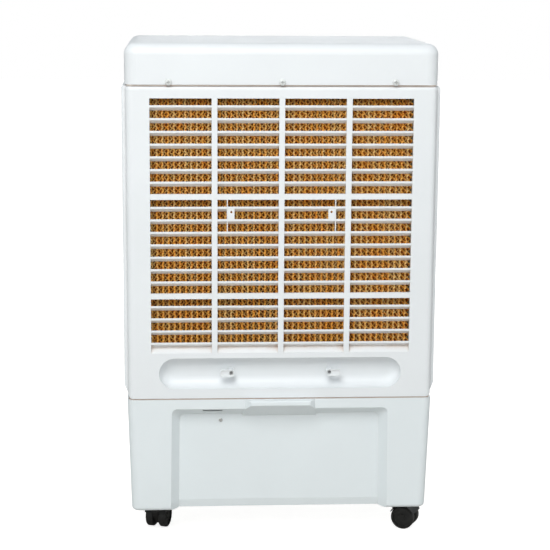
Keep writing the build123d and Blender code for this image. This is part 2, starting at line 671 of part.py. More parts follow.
def control_panel():
    middle = (CONTROL_BOTTOM + CONTROL_TOP) / 2
    outline = Pos(0, middle) * RectangleRounded(CONTROL_WIDTH, CONTROL_TOP - CONTROL_BOTTOM, 12)
    panel = through_y(outline, FRONT, FRONT + CONTROL_THICK)
    for x in KNOBS.values():
        panel -= rod((x, FRONT - 1, middle), (x, FRONT + 5, middle), KNOB_SHAFT_RADIUS + RUNNING)
    return panel


def switch_box():
    """The closed box behind the control panel that holds the three switches."""
    middle = (CONTROL_BOTTOM + CONTROL_TOP) / 2
    box = block(-185, 185, 168, FRONT - WALL, CONTROL_BOTTOM + 2, CONTROL_TOP - 2)
    for x in KNOBS.values():
        box -= rod((x, 178, middle), (x, FRONT, middle), KNOB_SHAFT_RADIUS + RUNNING)
    return box


def knob(x):
    """A rotary knob: shaft, skirt and a grip with a raised pointer bar."""
    middle = (CONTROL_BOTTOM + CONTROL_TOP) / 2
    face = FRONT + CONTROL_THICK + 0.4
    body = rod((x, 180, middle), (x, face + 1, middle), KNOB_SHAFT_RADIUS)
    body += rod((x, face, middle), (x, face + 3, middle), 20)
    grip_round = rod((x, face + 3, middle), (x, FRONT + 13, middle), 15)
    body += fillet(grip_round.edges().group_by(Axis.Y)[-1], 1.5)
    return body + block(x - 3, x + 3, face + 3, FRONT + GRIP_REACH, middle - 14, middle + 14)


# ---------------------------------------------------------------- air path

def fan_shroud():
    """The upright plate with the fan's ring."""
    centre = (0, FAN_HEIGHT)
    plate = block(-SIDE_INNER, SIDE_INNER, SHROUD_Y, SHROUD_Y + WALL, PANEL_BOTTOM, PANEL_TOP)
    plate += through_y(Pos(*centre) * Circle(SHROUD_RADIUS + WALL), SHROUD_LIP_Y, SHROUD_Y + 1)
    plate += through_y(Pos(*centre) * Circle(SHROUD_RADIUS + 16), SHROUD_LIP_Y - WALL, SHROUD_LIP_Y)
    return plate - through_y(Pos(*centre) * Circle(SHROUD_RADIUS), 0, SHROUD_Y + 10)


def motor():
    body = rod((0, MOTOR_BACK, FAN_HEIGHT), (0, MOTOR_FRONT, FAN_HEIGHT), MOTOR_RADIUS)
    body = fillet(body.edges(), 8)
    body += rod((0, MOTOR_FRONT - 1, FAN_HEIGHT), (0, MOTOR_FRONT + 6, FAN_HEIGHT), 14)
    return body - rod((0, MOTOR_BACK + 8, FAN_HEIGHT), (0, MOTOR_FRONT + 7, FAN_HEIGHT),
                      SHAFT_RADIUS + RUNNING)


def motor_bracket():
    """A ring round the motor with four arms and legs that stand on the shroud's lip."""
    y0, y1 = -32.0, -22.0
    ring = through_y(Pos(0, FAN_HEIGHT) * Circle(MOTOR_RADIUS + 5), y0, y1)
    leg_radius = SHROUD_RADIUS + 8
    for angle in (45, 135, 225, 315):
        arm = Pos(0, FAN_HEIGHT) * Rot(0, 0, angle) * Pos((leg_radius + MOTOR_RADIUS) / 2, 0) * Rectangle(
            leg_radius - MOTOR_RADIUS, 14)
        ring += through_y(arm, y0, y1)
        x = leg_radius * math.cos(math.radians(angle))
        z = FAN_HEIGHT + leg_radius * math.sin(math.radians(angle))
        ring += rod((x, y0, z), (x, SHROUD_LIP_Y - WALL, z), 6)
    return ring - through_y(Pos(0, FAN_HEIGHT) * Circle(MOTOR_RADIUS), y0 - 1, y1 + 1)


def motor_shaft():
    return rod((0, MOTOR_BACK + 12, FAN_HEIGHT), (0, FAN_CENTRE_Y + FAN_DEPTH / 2, FAN_HEIGHT), SHAFT_RADIUS)


def blade_section(radius, chord, pitch_deg):
    """A blade's flat section at one radius, turned by its pitch."""
    pitch = math.radians(pitch_deg)
    plane = Plane(origin=(radius, FAN_CENTRE_Y, FAN_HEIGHT),
                  x_dir=(0, math.sin(pitch), math.cos(pitch)), z_dir=(1, 0, 0))
    return plane * Rectangle(chord, 3.0)


def fan():
    """The fan: a hub and five twisted blades."""
    y0 = FAN_CENTRE_Y - FAN_DEPTH / 2
    y1 = FAN_CENTRE_Y + FAN_DEPTH / 2
    wheel = rod((0, y0, FAN_HEIGHT), (0, y1, FAN_HEIGHT), HUB_RADIUS)
    wheel = fillet(wheel.edges().group_by(Axis.Y)[-1], 6)
    wheel -= rod((0, y0 - 1, FAN_HEIGHT), (0, y1 - WALL, FAN_HEIGHT), HUB_RADIUS - WALL)
    wheel += rod((0, y0 + 2, FAN_HEIGHT), (0, y1 - 1, FAN_HEIGHT), 12)
    blade = loft([blade_section(HUB_RADIUS - 2, 50, 40), blade_section(115, 88, 29),
                  blade_section(FAN_RADIUS - 3, 100, 21)])
    axis = Axis((0, 0, FAN_HEIGHT), (0, 1, 0))
    for i in range(BLADE_COUNT):
        wheel += blade.rotate(axis, 360 * i / BLADE_COUNT)
    return wheel - rod((0, y0 - 5, FAN_HEIGHT), (0, y1 + 5, FAN_HEIGHT), SHAFT_RADIUS)


# ---------------------------------------------------------------- wet pad and water

def pad_frame():
    """The bulkhead that seals round the pad, with the tray that the pad stands in."""
    outer = PAD_HALF + WALL
    frame = block(-outer, outer, PAD_BACK - 0.5, BULKHEAD_Y + 1, PAD_BOTTOM - WALL, PANEL_TOP - 3)
    frame -= block(-PAD_HALF, PAD_HALF, PAD_BACK - 2, BULKHEAD_Y + 2, PAD_BOTTOM, PANEL_TOP)
    plate = block(-SIDE_INNER, SIDE_INNER, BULKHEAD_Y, BULKHEAD_Y + WALL, PANEL_BOTTOM, PANEL_TOP)
    plate -= block(14 - PAD_HALF, PAD_HALF - 14, BULKHEAD_Y - 1, BULKHEAD_Y + WALL + 1,
                   PAD_BOTTOM + 12, PAD_TOP - 12)
    frame += plate
    for x in spread(8, 60):
        frame -= block(x - 20, x + 20, -150, -138, PAD_BOTTOM - WALL - 1, PAD_BOTTOM + 1)
    hose_hole = rod((PUMP_X, BULKHEAD_Y - 1, HOSE_TOP), (PUMP_X, BULKHEAD_Y + WALL + 1, HOSE_TOP), HOSE_RADIUS + 1)
    return frame - hose_hole


def cooling_pad():
    return block(-PAD_HALF, PAD_HALF, PAD_BACK, PAD_FRONT, PAD_BOTTOM, PAD_TOP)


def water_distributor():
    """The trough over the pad, with two rows of drip holes and the hose's spigot."""
    y0, y1 = PAD_BACK + 3, PAD_FRONT - 3
    trough = block(-256, 256, y0, y1, PAD_TOP, PANEL_TOP - 2)
    trough -= block(-254, 254, y0 + 2, y1 - 2, PAD_TOP + 2, PANEL_TOP)
    for x in spread(16, 32):
        for y in (-158, -128):
            trough -= rod((x, y, PAD_TOP - 1), (x, y, PAD_TOP + 3), 2)
    trough += rod((PUMP_X, y1, HOSE_TOP), (PUMP_X, y1 + 12, HOSE_TOP), HOSE_BORE - 0.05)
    return trough - rod((PUMP_X, y1 - 3, HOSE_TOP), (PUMP_X, y1 + 13, HOSE_TOP), 2.5)


def pump_strainer():
    """The slotted cage that the pump stands in, on the tank's floor."""
    floor = TANK_BOTTOM + WALL
    cage = rod((PUMP_X, PUMP_Y, floor), (PUMP_X, PUMP_Y, floor + 20), 34)
    cage -= rod((PUMP_X, PUMP_Y, floor + 2), (PUMP_X, PUMP_Y, floor + 21), 32)
    slot = block(25, 40, -3, 3, floor + 4, floor + 16)
    for i in range(12):
        cage -= Pos(PUMP_X, PUMP_Y, 0) * Rot(0, 0, 30 * i) * slot
    return cage


def pump():
    floor = TANK_BOTTOM + WALL + 2
    body = rod((PUMP_X, PUMP_Y, floor), (PUMP_X, PUMP_Y, floor + 58), 28)
    body = fillet(body.edges().group_by(Axis.Z)[-1], 6)
    body += rod((PUMP_X, PUMP_Y, floor + 20), (PUMP_X, PUMP_Y, floor + 24), 34)
    body += rod((PUMP_X, PUMP_Y, floor + 55), (PUMP_X, PUMP_Y, HOSE_START), 8)
    return body + rod((PUMP_X, PUMP_Y, HOSE_START), (PUMP_X, PUMP_Y, HOSE_START + 15), HOSE_BORE - 0.05)


def hose():
    """The hose from the pump up to the distributor, bent once at the top."""
    end_y = PAD_FRONT - 3
    route = FilletPolyline((PUMP_X, PUMP_Y, HOSE_START), (PUMP_X, PUMP_Y, HOSE_TOP),
                           (PUMP_X, end_y, HOSE_TOP), radius=HOSE_BEND)
    start = Plane(origin=(PUMP_X, PUMP_Y, HOSE_START), z_dir=(0, 0, 1))
    return sweep(start * (Circle(HOSE_RADIUS) - Circle(HOSE_BORE)), path=route)


def float_valve():
    """The inlet valve: spigot outside, nut inside, and two ears that hold the float arm."""
    wall_in = INLET_POCKET_FLOOR - WALL
    y, z = INLET_Y, INLET_Z
    valve = rod((INLET_POCKET_FLOOR, y, z), (INLET_POCKET_FLOOR + 3, y, z), 16)
    valve += rod((INLET_POCKET_FLOOR, y, z), (309, y, z), 6.5)
    valve += rod((262, y, z), (INLET_POCKET_FLOOR + 1, y, z), 9.9)
    valve += through_x(Pos(y, z) * RegularPolygon(16, 6), wall_in - 6, wall_in)
    for side in (-1, 1):
        ends = sorted((y + side * 6, y + side * 9))
        valve += block(FLOAT_PIVOT_X - 5, 264, ends[0], ends[1], z - 5, z + 5)
    valve -= rod((266, y, z), (310, y, z), 4)
    return valve - rod((FLOAT_PIVOT_X, y - 10, z), (FLOAT_PIVOT_X, y + 10, z), 2 + RUNNING)


def float_arm():
    y, z = INLET_Y, INLET_Z
    arm = rod((FLOAT_PIVOT_X, y - 5.5, z), (FLOAT_PIVOT_X, y + 5.5, z), 5)
    arm += rod((FLOAT_PIVOT_X, y - 9, z), (FLOAT_PIVOT_X, y + 9, z), 2)
    return arm + rod((FLOAT_PIVOT_X, y, z), BALL_CENTRE, 2.5)


def float_ball():
    ball = Pos(*BALL_CENTRE) * Sphere(BALL_RADIUS)
    return ball - rod((FLOAT_PIVOT_X, INLET_Y, INLET_Z), BALL_CENTRE, 2.5)


def drain_plug():
    x, y = DRAIN
    plug = rod((x, y, TANK_BOTTOM - 10.3), (x, y, TANK_BOTTOM + 2), DRAIN_RADIUS - RUNNING)
    return plug + rod((x, y, TANK_BOTTOM - 14.3), (x, y, TANK_BOTTOM - 10.3), DRAIN_RADIUS + 6)


# ---------------------------------------------------------------- castors

def castor_sockets():
    """Four flanged sleeves, pressed up into the tank's bosses."""
    sleeves = []
    for _, x, y, _, _ in CASTORS:
        sleeve = rod((x, y, TANK_BOTTOM), (x, y, STEM_TOP + 1), SOCKET_RADIUS)
        sleeve += rod((x, y, TANK_BOTTOM - 3), (x, y, TANK_BOTTOM), 20)
        sleeves.append(sleeve - rod((x, y, TANK_BOTTOM - 4), (x, y, STEM_TOP + 2), STEM_RADIUS + RUNNING))
    return Compound(sleeves)


def castor_housing(has_brake):
    """Stem, boss, web and hood, with the stem on the Z axis and the trail along +X."""
    axle_z = WHEEL_RADIUS
    arc = Pos(TRAIL, axle_z) * Circle(HOOD_RADIUS)
    arc -= Pos(TRAIL, axle_z) * Circle(WHEEL_RADIUS + 1.2)
    arc &= Pos(TRAIL, HOOD_FOOT + 50) * Rectangle(80, 100)
    housing = through_y(arc, -WHEEL_OUTER - 0.5, WHEEL_OUTER + 0.5)
    web = Pos(TRAIL, axle_z) * Circle(WHEEL_RADIUS - 7)
    web += polygon((-6, 36), (TRAIL - 14, 14), (TRAIL + 16, axle_z + 6), (TRAIL + 16, 49), (-6, 49))
    housing += through_y(web, -WHEEL_INNER + 0.5, WHEEL_INNER - 0.5)
    boss = rod((0, 0, 40), (0, 0, TANK_BOTTOM - 3.4), 11)
    boss -= rod((TRAIL, -30, axle_z), (TRAIL, 30, axle_z), HOOD_RADIUS - 1)
    housing += boss
    housing += rod((0, 0, TANK_BOTTOM - 8), (0, 0, STEM_TOP), STEM_RADIUS)
    if has_brake:
        x, z = PEDAL_PIVOT
        for side in (-1, 1):
            ends = sorted((side * 10, side * 13))
            ear = polygon((x - 6, z - 8), (x + 2, z - 10), (x + 3, z + 3), (x - 3, z + 3))
            housing += through_y(ear, ends[0], ends[1])
        housing -= rod((x, -14, z), (x, 14, z), 1.5 + RUNNING)
        housing -= rod((TRAIL, -30, axle_z), (TRAIL, -WHEEL_INNER + 0.5, axle_z), WHEEL_RADIUS + 1.2)
        housing -= rod((TRAIL, WHEEL_INNER - 0.5, axle_z), (TRAIL, 30, axle_z), WHEEL_RADIUS + 1.2)
    return housing - rod((TRAIL, -30, axle_z), (TRAIL, 30, axle_z), AXLE_RADIUS + RUNNING)


def castor_wheels():
    """Two wheels on one axle."""
    z = WHEEL_RADIUS
    solids = [rod((TRAIL, 1 - WHEEL_OUTER, z), (TRAIL, WHEEL_OUTER - 1, z), AXLE_RADIUS)]
    for side in (-1, 1):
        wheel = rod((TRAIL, side * WHEEL_INNER, z), (TRAIL, side * WHEEL_OUTER, z), WHEEL_RADIUS)
        wheel = fillet(wheel.edges(), WHEEL_ROUND)
        outer = side * (WHEEL_OUTER + 1)
        wheel -= rod((TRAIL, side * (WHEEL_OUTER - 3), z), (TRAIL, outer, z), WHEEL_RADIUS - 6)
        wheel += rod((TRAIL, side * (WHEEL_OUTER - 4), z), (TRAIL, side * (WHEEL_OUTER - 1), z), 7)
        wheel -= rod((TRAIL, 0, z), (TRAIL, side * (WHEEL_OUTER - 1), z), AXLE_RADIUS)
        solids.append(wheel)
    return Compound(solids)


def castor_brake():
    """The foot pedal over the hood's trailing end."""
    x, z = PEDAL_PIVOT
    lever = polygon((x, z - 1.2), (x + 22, z + 1), (x + 23, z + 3), (x, z + 2.5))
    pedal = through_y(lever, -12, 12)
    pedal -= block(x - 5, x + 4.5, -15, -9.4, z - 5, z + 5)
    pedal -= block(x - 5, x + 4.5, 9.4, 15, z - 5, z + 5)
    pedal += rod((x, -9.4, z), (x, 9.4, z), 2.6)
    return pedal + rod((x, -12.8, z), (x, 12.8, z), 1.5)


# ---------------------------------------------------------------- all nodes

def placed_castor(shape, x, y, angle):
    return Pos(x, y, 0) * Rot(0, 0, angle) * shape


def all_nodes():
    nodes = {
        "water_tank": water_tank(),
        "level_window": level_window(),
        "tank_screw": tank_screw(),
        "deck_plate": deck_plate(),
        "rear_frame": rear_frame(),
        "rear_louvers": rear_louvers(),
        "cord_hook_left": cord_hook(),
        "cord_hook_right": mirrored_x(cord_hook()),
        "side_panel_left": side_panel_left(),
        "side_panel_right": side_panel_right_with_gland_seat(),
        "cord_gland": cord_gland(),
        "upper_frame": upper_frame(),
        "top_cover": top_cover(),
        "top_cover_screws": top_cover_screws(),
        "front_panel": front_panel(),
        "control_panel": control_panel(),
        "switch_box": switch_box(),
        "louver_link": louver_link(),
        "vane_link": vane_link(),
        "swing_motor": swing_motor(),
        "fill_door": fill_door(),
        "fan_shroud": fan_shroud(),
        "motor": motor(),
        "motor_bracket": motor_bracket(),
        "motor_shaft": motor_shaft(),
        "fan": fan(),
        "pad_frame": pad_frame(),
        "cooling_pad": cooling_pad(),
        "water_distributor": water_distributor(),
        "pump": pump(),
        "pump_strainer": pump_strainer(),
        "hose": hose(),
        "float_valve": float_valve(),
        "float_arm": float_arm(),
        "float_ball": float_ball(),
        "drain_plug": drain_plug(),
        "castor_sockets": castor_sockets(),
    }
    for name, x in KNOBS.items():
        nodes[name] = knob(x)
    for i, z in enumerate(louver_heights()):
        nodes[f"louver_{i + 1}"] = louver(z, has_tab=(i == LOUVER_COUNT // 2))
    for i, x in enumerate(vane_places()):
        nodes[f"vane_{i + 1}"] = vane(x, drives=(i == 0))
    for name, x, y, angle, has_brake in CASTORS:
        nodes[f"castor_{name}_housing"] = placed_castor(castor_housing(has_brake), x, y, angle)
        nodes[f"castor_{name}_wheels"] = placed_castor(castor_wheels(), x, y, angle)
        if has_brake:
            nodes[f"castor_{name}_brake"] = placed_castor(castor_brake(), x, y, angle)
    return nodes


os.makedirs("parts", exist_ok=True)
for node_name, node_shape in all_nodes().items():
    export_step(node_shape, f"parts/{node_name}.step")
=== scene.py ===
"""The looks of an evaporative cooler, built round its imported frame. Metres, Z up.

The rear of the cooler faces -Y. Materials come first, then the pieces that the frame leaves to
this script (the corrugated wet pad, the dial marks, small screws), and last the studio.
"""

import json
import math
import random

import bmesh
import bpy
from mathutils import Matrix, Vector


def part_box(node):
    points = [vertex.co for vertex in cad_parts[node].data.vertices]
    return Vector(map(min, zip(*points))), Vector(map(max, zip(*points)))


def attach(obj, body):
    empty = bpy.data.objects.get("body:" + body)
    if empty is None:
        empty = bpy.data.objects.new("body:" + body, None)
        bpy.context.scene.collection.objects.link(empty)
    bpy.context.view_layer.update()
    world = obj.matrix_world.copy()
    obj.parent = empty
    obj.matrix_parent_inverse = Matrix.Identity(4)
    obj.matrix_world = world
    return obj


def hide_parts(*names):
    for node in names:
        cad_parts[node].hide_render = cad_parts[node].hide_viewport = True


MM = 0.001

# Camera: where it stands, how it is turned, and its lens for a 36 mm wide square picture.
CAMERA_PLACE = (-0.208, -3.379, 1.167)
CAMERA_PITCH = math.radians(10.73)
CAMERA_YAW = math.radians(3.52)
CAMERA_ROLL = math.radians(0.37)
CAMERA_LENS = 105.2
CAMERA_SENSOR = 36.0
CAMERA_FAR_CLIP = 60.0

# Printed marks round the knobs: how far out they stand, and how large they are. A number stands
# closer in where its direction from the knob rises or falls by more than UPRIGHT_HEIGHT of 1.
PRINT_THICKNESS = 0.2 * MM
TICK_RADIUS = 22.6 * MM
TICK_SIZE = (0.8 * MM, PRINT_THICKNESS, 2.4 * MM)
NUMBER_SIZE = 6.0 * MM
NUMBER_RADIUS = 28.6 * MM
NUMBER_RADIUS_UPRIGHT = 26.2 * MM
UPRIGHT_HEIGHT = 0.9
KNOB_STOPS = {
    "knob_speed": (135, ("0", "1", "2", "3")),
    "knob_function": (90, ("0", "1", "2")),
    "knob_timer": (300, ("0", "10", "20", "30", "40", "50", "60")),
}

# The screw in each cord hook, sunk below the face of the hook, and the cross in its head, which is
# turned by CROSS_TURN radians.
HOOK_SCREW_DEPTH = 9.0 * MM
HOOK_SCREW_HEAD = 1.6 * MM
HOOK_SCREW_RADIUS = 3.1 * MM
HOOK_SCREW_TAPER = 0.75
HOOK_SCREW_SIDES = 24
CROSS_SIZE = (3.6 * MM, 0.5 * MM, 0.8 * MM)
CROSS_TURN = 0.3

# A small block's rounded edges, as a share of its thinnest side.
SLAB_ROUNDING = 0.3
SLAB_SEGMENTS = 2

# The floor: half its width, its colour, and how brightly it shows itself to the eye within FLOOR_NEAR
# of the cooler's middle and beyond FLOOR_FAR.
FLOOR_REACH = 14.0
FLOOR_COLOUR = (0.58, 0.56, 0.53)
FLOOR_GLOW_NEAR = 0.84
FLOOR_GLOW_FAR = 1.0
FLOOR_NEAR = 0.3
FLOOR_FAR = 1.3

# The studio room's own brightness level with the cooler and overhead, and the two heights of a
# direction between which it changes.
ROOM_COLOUR = (0.93, 0.97, 1.0)
ROOM_WALLS = 0.62
ROOM_CEILING = 0.34
ROOM_WALL_TOP = 0.05
ROOM_CEILING_EDGE = 0.85

# Soft lights, all aimed at one point: place, width, height, watts and tint.
WHITE = (1.0, 1.0, 1.0)
LIGHT_AIM = (0.0, 0.0, 0.55)
LIGHTS = {
    "key": ((-0.75, -2.8, 3.0), 2.2, 2.2, 97.0, (1.0, 0.995, 0.985)),
    "low_key": ((-0.3, -4.6, 1.4), 2.0, 1.4, 9.0, (1.0, 0.99, 0.97)),
    "front_fill": ((0.8, 3.2, 0.78), 2.4, 1.2, 44.0, WHITE),
    "left_fill": ((-3.4, 0.8, 0.8), 1.6, 1.4, 2.5, WHITE),
    "right_fill": ((3.2, -1.2, 0.8), 1.6, 1.4, 7.0, WHITE),
}

# Wet pad: corrugated sheets on edge, their flutes sloping up and down by turns.
SHEET_PITCH = 5.7 * MM
SHEET_THICKNESS = 0.5 * MM
SHEET_SWAY = 7.0 * MM
FLUTE_LENGTH = 10.5 * MM
FLUTE_SLOPES = (math.radians(34.0), math.radians(-22.0))
ROWS_PER_FLUTE = 5
PAD_SEED = 7

# How far a sheet's rows wander sideways at its open face and what share of that is left inside,
# with the two waves, in radians per metre, that make the wander; the slow one starts WANDER_OFFSET
# times as far along as the quick one. The first row of points behind the face is at PAD_FIRST_ROW.
WANDER = 0.35 * MM
WANDER_INSIDE = 0.3
WANDER_SLOW = 41.0
WANDER_QUICK = 230.0
WANDER_OFFSET = 3.0
PAD_FIRST_ROW = 9 * MM

# Surface patterns: cells to the metre, detail, roughness and distortion.
FLOW_MARKS = (5.0, 4.0, 0.6, 0.6)
SURFACE_WAVES = (11.0, 1.0)
SMUDGES = (38.0, 5.0, 0.65)
SPECKS = (620.0, 3.0)
PAPER_FIBRES = (900.0, 4.0, 0.7)
PAPER_SOAK = (46.0, 4.0, 0.6, 0.8)
PAPER_SHEETS = (210.0, 1.0)
DRAWN_LINES = (700.0, 3.0, 0.7)
METAL_STAINS = (60.0, 5.0, 0.6, 0.4)
ORANGE_PEEL = (420.0, 2.0)
PAINT_STAINS = (30.0, 5.0, 0.6)
PAINT_CHIPS = (520.0, 3.0, 0.6)
RUBBER_BLOOM = (70.0, 5.0, 0.65, 0.5)
RUBBER_SKIN = (1500.0, 2.0)
WATER_SCALE = (160.0, 4.0, 0.7)

# Moulded plastic: the pitch of its skin, how much flow marks and specks darken it, how far rubbing
# reaches over an edge and how much it polishes there, and how rounded a sharp edge looks.
SKIN_PITCH = 1.1 * MM
MOTTLE = 0.03
SPECK_SHADE = 0.6
RUBBED_REACH = 0.9 * MM
RUBBED_GLOSS = 0.08
SOFT_EDGE = 0.7 * MM

# The pad's paper, in linear colours, and the painted shade deep in its flutes: its colour, its share,
# and how deep behind the face it is full.
PAPER_DRY = (1.0, 0.62, 0.13)
PAPER_WET = (1.0, 0.45, 0.05)
PAPER_PALE = (1.0, 0.84, 0.38)
PAPER_FIBRE = (0.55, 0.20, 0.03)
PAPER_DEEP_SHADE = (0.50, 0.13, 0.01)
PAPER_DEEP_SHADE_SHARE = 0.92
PAPER_SHADE_FULL_AT = 14 * MM

# How the pad's patterns are drawn out along each axis: a smaller share is a longer streak.
FIBRE_STRETCH = (1.0, 0.25, 0.25)
SHEET_STRETCH = (1.0, 0.04, 0.04)

# The level window: its tints, and its roughness where no scale has settled.
WINDOW_BLUE = (0.80, 0.90, 0.94)
WINDOW_PALE = (0.90, 0.95, 0.97)
WINDOW_ROUGHNESS = 0.06

# Worn metal: bright edges, bare steel under chipped paint, and a darker colour in its corners.
BRIGHT_EDGE = (0.9, 0.9, 0.9)
BARE_STEEL = (0.5, 0.5, 0.5)
METAL_CORNER_COLOUR = (0.22, 0.20, 0.17)
METAL_CORNER_SHARE = 0.35
METAL_CORNER_REACH = 5 * MM

# Rays per point for the edge and corner masks and for the rounded look of sharp edges, and the
# values between which each mask fades: of the angle's cosine, and of the open share of the sky.
MASK_SAMPLES = 4
EDGE_FADE = (0.80, 0.99)
CREVICE_FADE = (0.25, 0.85)

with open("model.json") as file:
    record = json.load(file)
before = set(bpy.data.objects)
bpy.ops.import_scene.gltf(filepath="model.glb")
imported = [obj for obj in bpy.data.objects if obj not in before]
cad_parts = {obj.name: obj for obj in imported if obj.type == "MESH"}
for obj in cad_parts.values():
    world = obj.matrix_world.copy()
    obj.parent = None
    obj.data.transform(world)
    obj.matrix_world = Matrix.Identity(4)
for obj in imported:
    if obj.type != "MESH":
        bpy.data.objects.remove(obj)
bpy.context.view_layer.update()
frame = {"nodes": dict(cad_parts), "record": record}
nodes = frame["nodes"]


# ---------------------------------------------------------------- shader nodes

def feed(tree, socket, value):
    """Gives a socket a plain value, or links another node's output to it."""
    if isinstance(value, bpy.types.NodeSocket):
        tree.links.new(value, socket)
    else:
        socket.default_value = value


def add(tree, kind, inputs=None, **settings):
    """A new shader node; each input is a plain value or another node's output."""
    node = tree.nodes.new("ShaderNode" + kind)
    for name, value in settings.items():
        setattr(node, name, value)
    for name, value in (inputs or {}).items():
        feed(tree, node.inputs[name], value)
    return node


def new_material(name):
    """An empty material with its Principled shader and output joined."""
    material = bpy.data.materials.new(name)
    material.use_nodes = True
    tree = material.node_tree
    tree.nodes.clear()
    shader = add(tree, "BsdfPrincipled")
    add(tree, "OutputMaterial", {"Surface": shader.outputs["BSDF"]})
    return material, tree, shader


def place(tree, stretch=(1.0, 1.0, 1.0)):
    """The surface point in its object's own space, which moves with the object."""
    here = add(tree, "TexCoord").outputs["Object"]
    return add(tree, "Mapping", {"Vector": here, "Scale": stretch}).outputs["Vector"]


def noise(tree, where, scale, detail, roughness=0.5, distortion=0.0):
    """Cloudy noise between 0 and 1 at a point."""
    return add(tree, "TexNoise", {"Vector": where, "Scale": scale, "Detail": detail,
                                  "Roughness": roughness, "Distortion": distortion}).outputs["Fac"]


def ranged(tree, value, low, high, from_low=0.3, from_high=0.7):
    """value carried from one range to another, and clamped there."""
    return add(tree, "MapRange", {"Value": value, "From Min": from_low, "From Max": from_high,
                                  "To Min": low, "To Max": high}).outputs["Result"]


def mixed(tree, amount, first, second):
    """The first colour, turning into the second as the amount goes from 0 to 1."""
    node = add(tree, "Mix", data_type="RGBA")
    feed(tree, node.inputs[0], amount)
    feed(tree, node.inputs[6], first)
    feed(tree, node.inputs[7], second)
    return node.outputs[2]


def maths(tree, operation, first, second):
    """One arithmetic operation on two values."""
    return add(tree, "Math", {0: first, 1: second}, operation=operation).outputs[0]


def bumped(tree, *layers, start=None):
    """One normal from several bump layers of (height, strength, distance in metres)."""
    normal = start
    for height, strength, distance in layers:
        inputs = {"Height": height, "Strength": strength, "Distance": distance}
        if normal is not None:
            inputs["Normal"] = normal
        normal = add(tree, "Bump", inputs).outputs["Normal"]
    return normal


def edge_mask(tree, radius):
    """About 1 on sharp outer edges and 0 on flat faces."""
    rounded = add(tree, "Bevel", {"Radius": radius}, samples=MASK_SAMPLES).outputs["Normal"]
    plain = add(tree, "NewGeometry").outputs["Normal"]
    dot = add(tree, "VectorMath", {0: rounded, 1: plain}, operation="DOT_PRODUCT").outputs["Value"]
    return ranged(tree, dot, 1.0, 0.0, *EDGE_FADE)


def crevice_mask(tree, distance):
    """About 1 deep in corners and gaps and 0 in the open."""
    open_sky = add(tree, "AmbientOcclusion", {"Distance": distance}, samples=MASK_SAMPLES).outputs["AO"]
    return ranged(tree, open_sky, 1.0, 0.0, *CREVICE_FADE)


def rgba(colour):
    """A colour with full alpha, as a colour socket takes it."""
    return (*colour, 1.0)


def scaled(colour, factor):
    """A colour made darker by a factor below 1."""
    return [channel * factor for channel in colour]


# ---------------------------------------------------------------- materials

def moulded(name, colour, roughness, grain=0.05, wear=0.25, dust_and_shade=(0.50, 0.38, 0.28),
            dust_and_shade_share=0.22, dust_and_shade_reach=9 * MM, coat=0.0):
    """Injection-moulded plastic: a fine skin texture, flow mottling, rubbed edges, and corners and gaps
    tinted by dust and painted shade.
    """
    material, tree, shader = new_material(name)
    where = place(tree)
    flow = noise(tree, where, *FLOW_MARKS)
    skin = noise(tree, where, 1.0 / SKIN_PITCH, 2.0)
    waves = noise(tree, where, *SURFACE_WAVES)
    smudge = noise(tree, where, *SMUDGES)
    darker = scaled(colour, 1.0 - MOTTLE)
    tone = mixed(tree, ranged(tree, flow, 0.0, 1.0), rgba(darker), rgba(colour))
    specks = ranged(tree, noise(tree, where, *SPECKS), 0.0, MOTTLE, 0.60, 0.75)
    tone = mixed(tree, specks, tone, rgba(scaled(colour, SPECK_SHADE)))
    # Corners and gaps turn towards the dust colour: real dust, and on the pale plastics painted shade
    # in seams and recesses.
    darker_in_corners = maths(tree, "MULTIPLY", crevice_mask(tree, dust_and_shade_reach), ranged(tree, smudge, 0.4, 1.0))
    darker_in_corners = maths(tree, "MULTIPLY", darker_in_corners, dust_and_shade_share)
    tone = mixed(tree, darker_in_corners, tone, rgba(dust_and_shade))
    rubbed = maths(tree, "MULTIPLY", edge_mask(tree, RUBBED_REACH), ranged(tree, smudge, 0.3, 1.0))
    lighter = [channel + (1.0 - channel) * wear for channel in colour]
    tone = mixed(tree, rubbed, tone, rgba(lighter))
    tree.links.new(tone, shader.inputs["Base Color"])
    gloss = ranged(tree, smudge, roughness - 0.06, roughness + 0.07)
    gloss = maths(tree, "SUBTRACT", gloss, maths(tree, "MULTIPLY", rubbed, RUBBED_GLOSS))
    tree.links.new(gloss, shader.inputs["Roughness"])
    soft_edges = add(tree, "Bevel", {"Radius": SOFT_EDGE}, samples=MASK_SAMPLES).outputs["Normal"]
    normal = bumped(tree, (waves, 0.10, 0.8 * MM), (skin, grain, 0.12 * MM), start=soft_edges)
    tree.links.new(normal, shader.inputs["Normal"])
    shader.inputs["Coat Weight"].default_value = coat
    shader.inputs["Coat Roughness"].default_value = 0.2
    return material


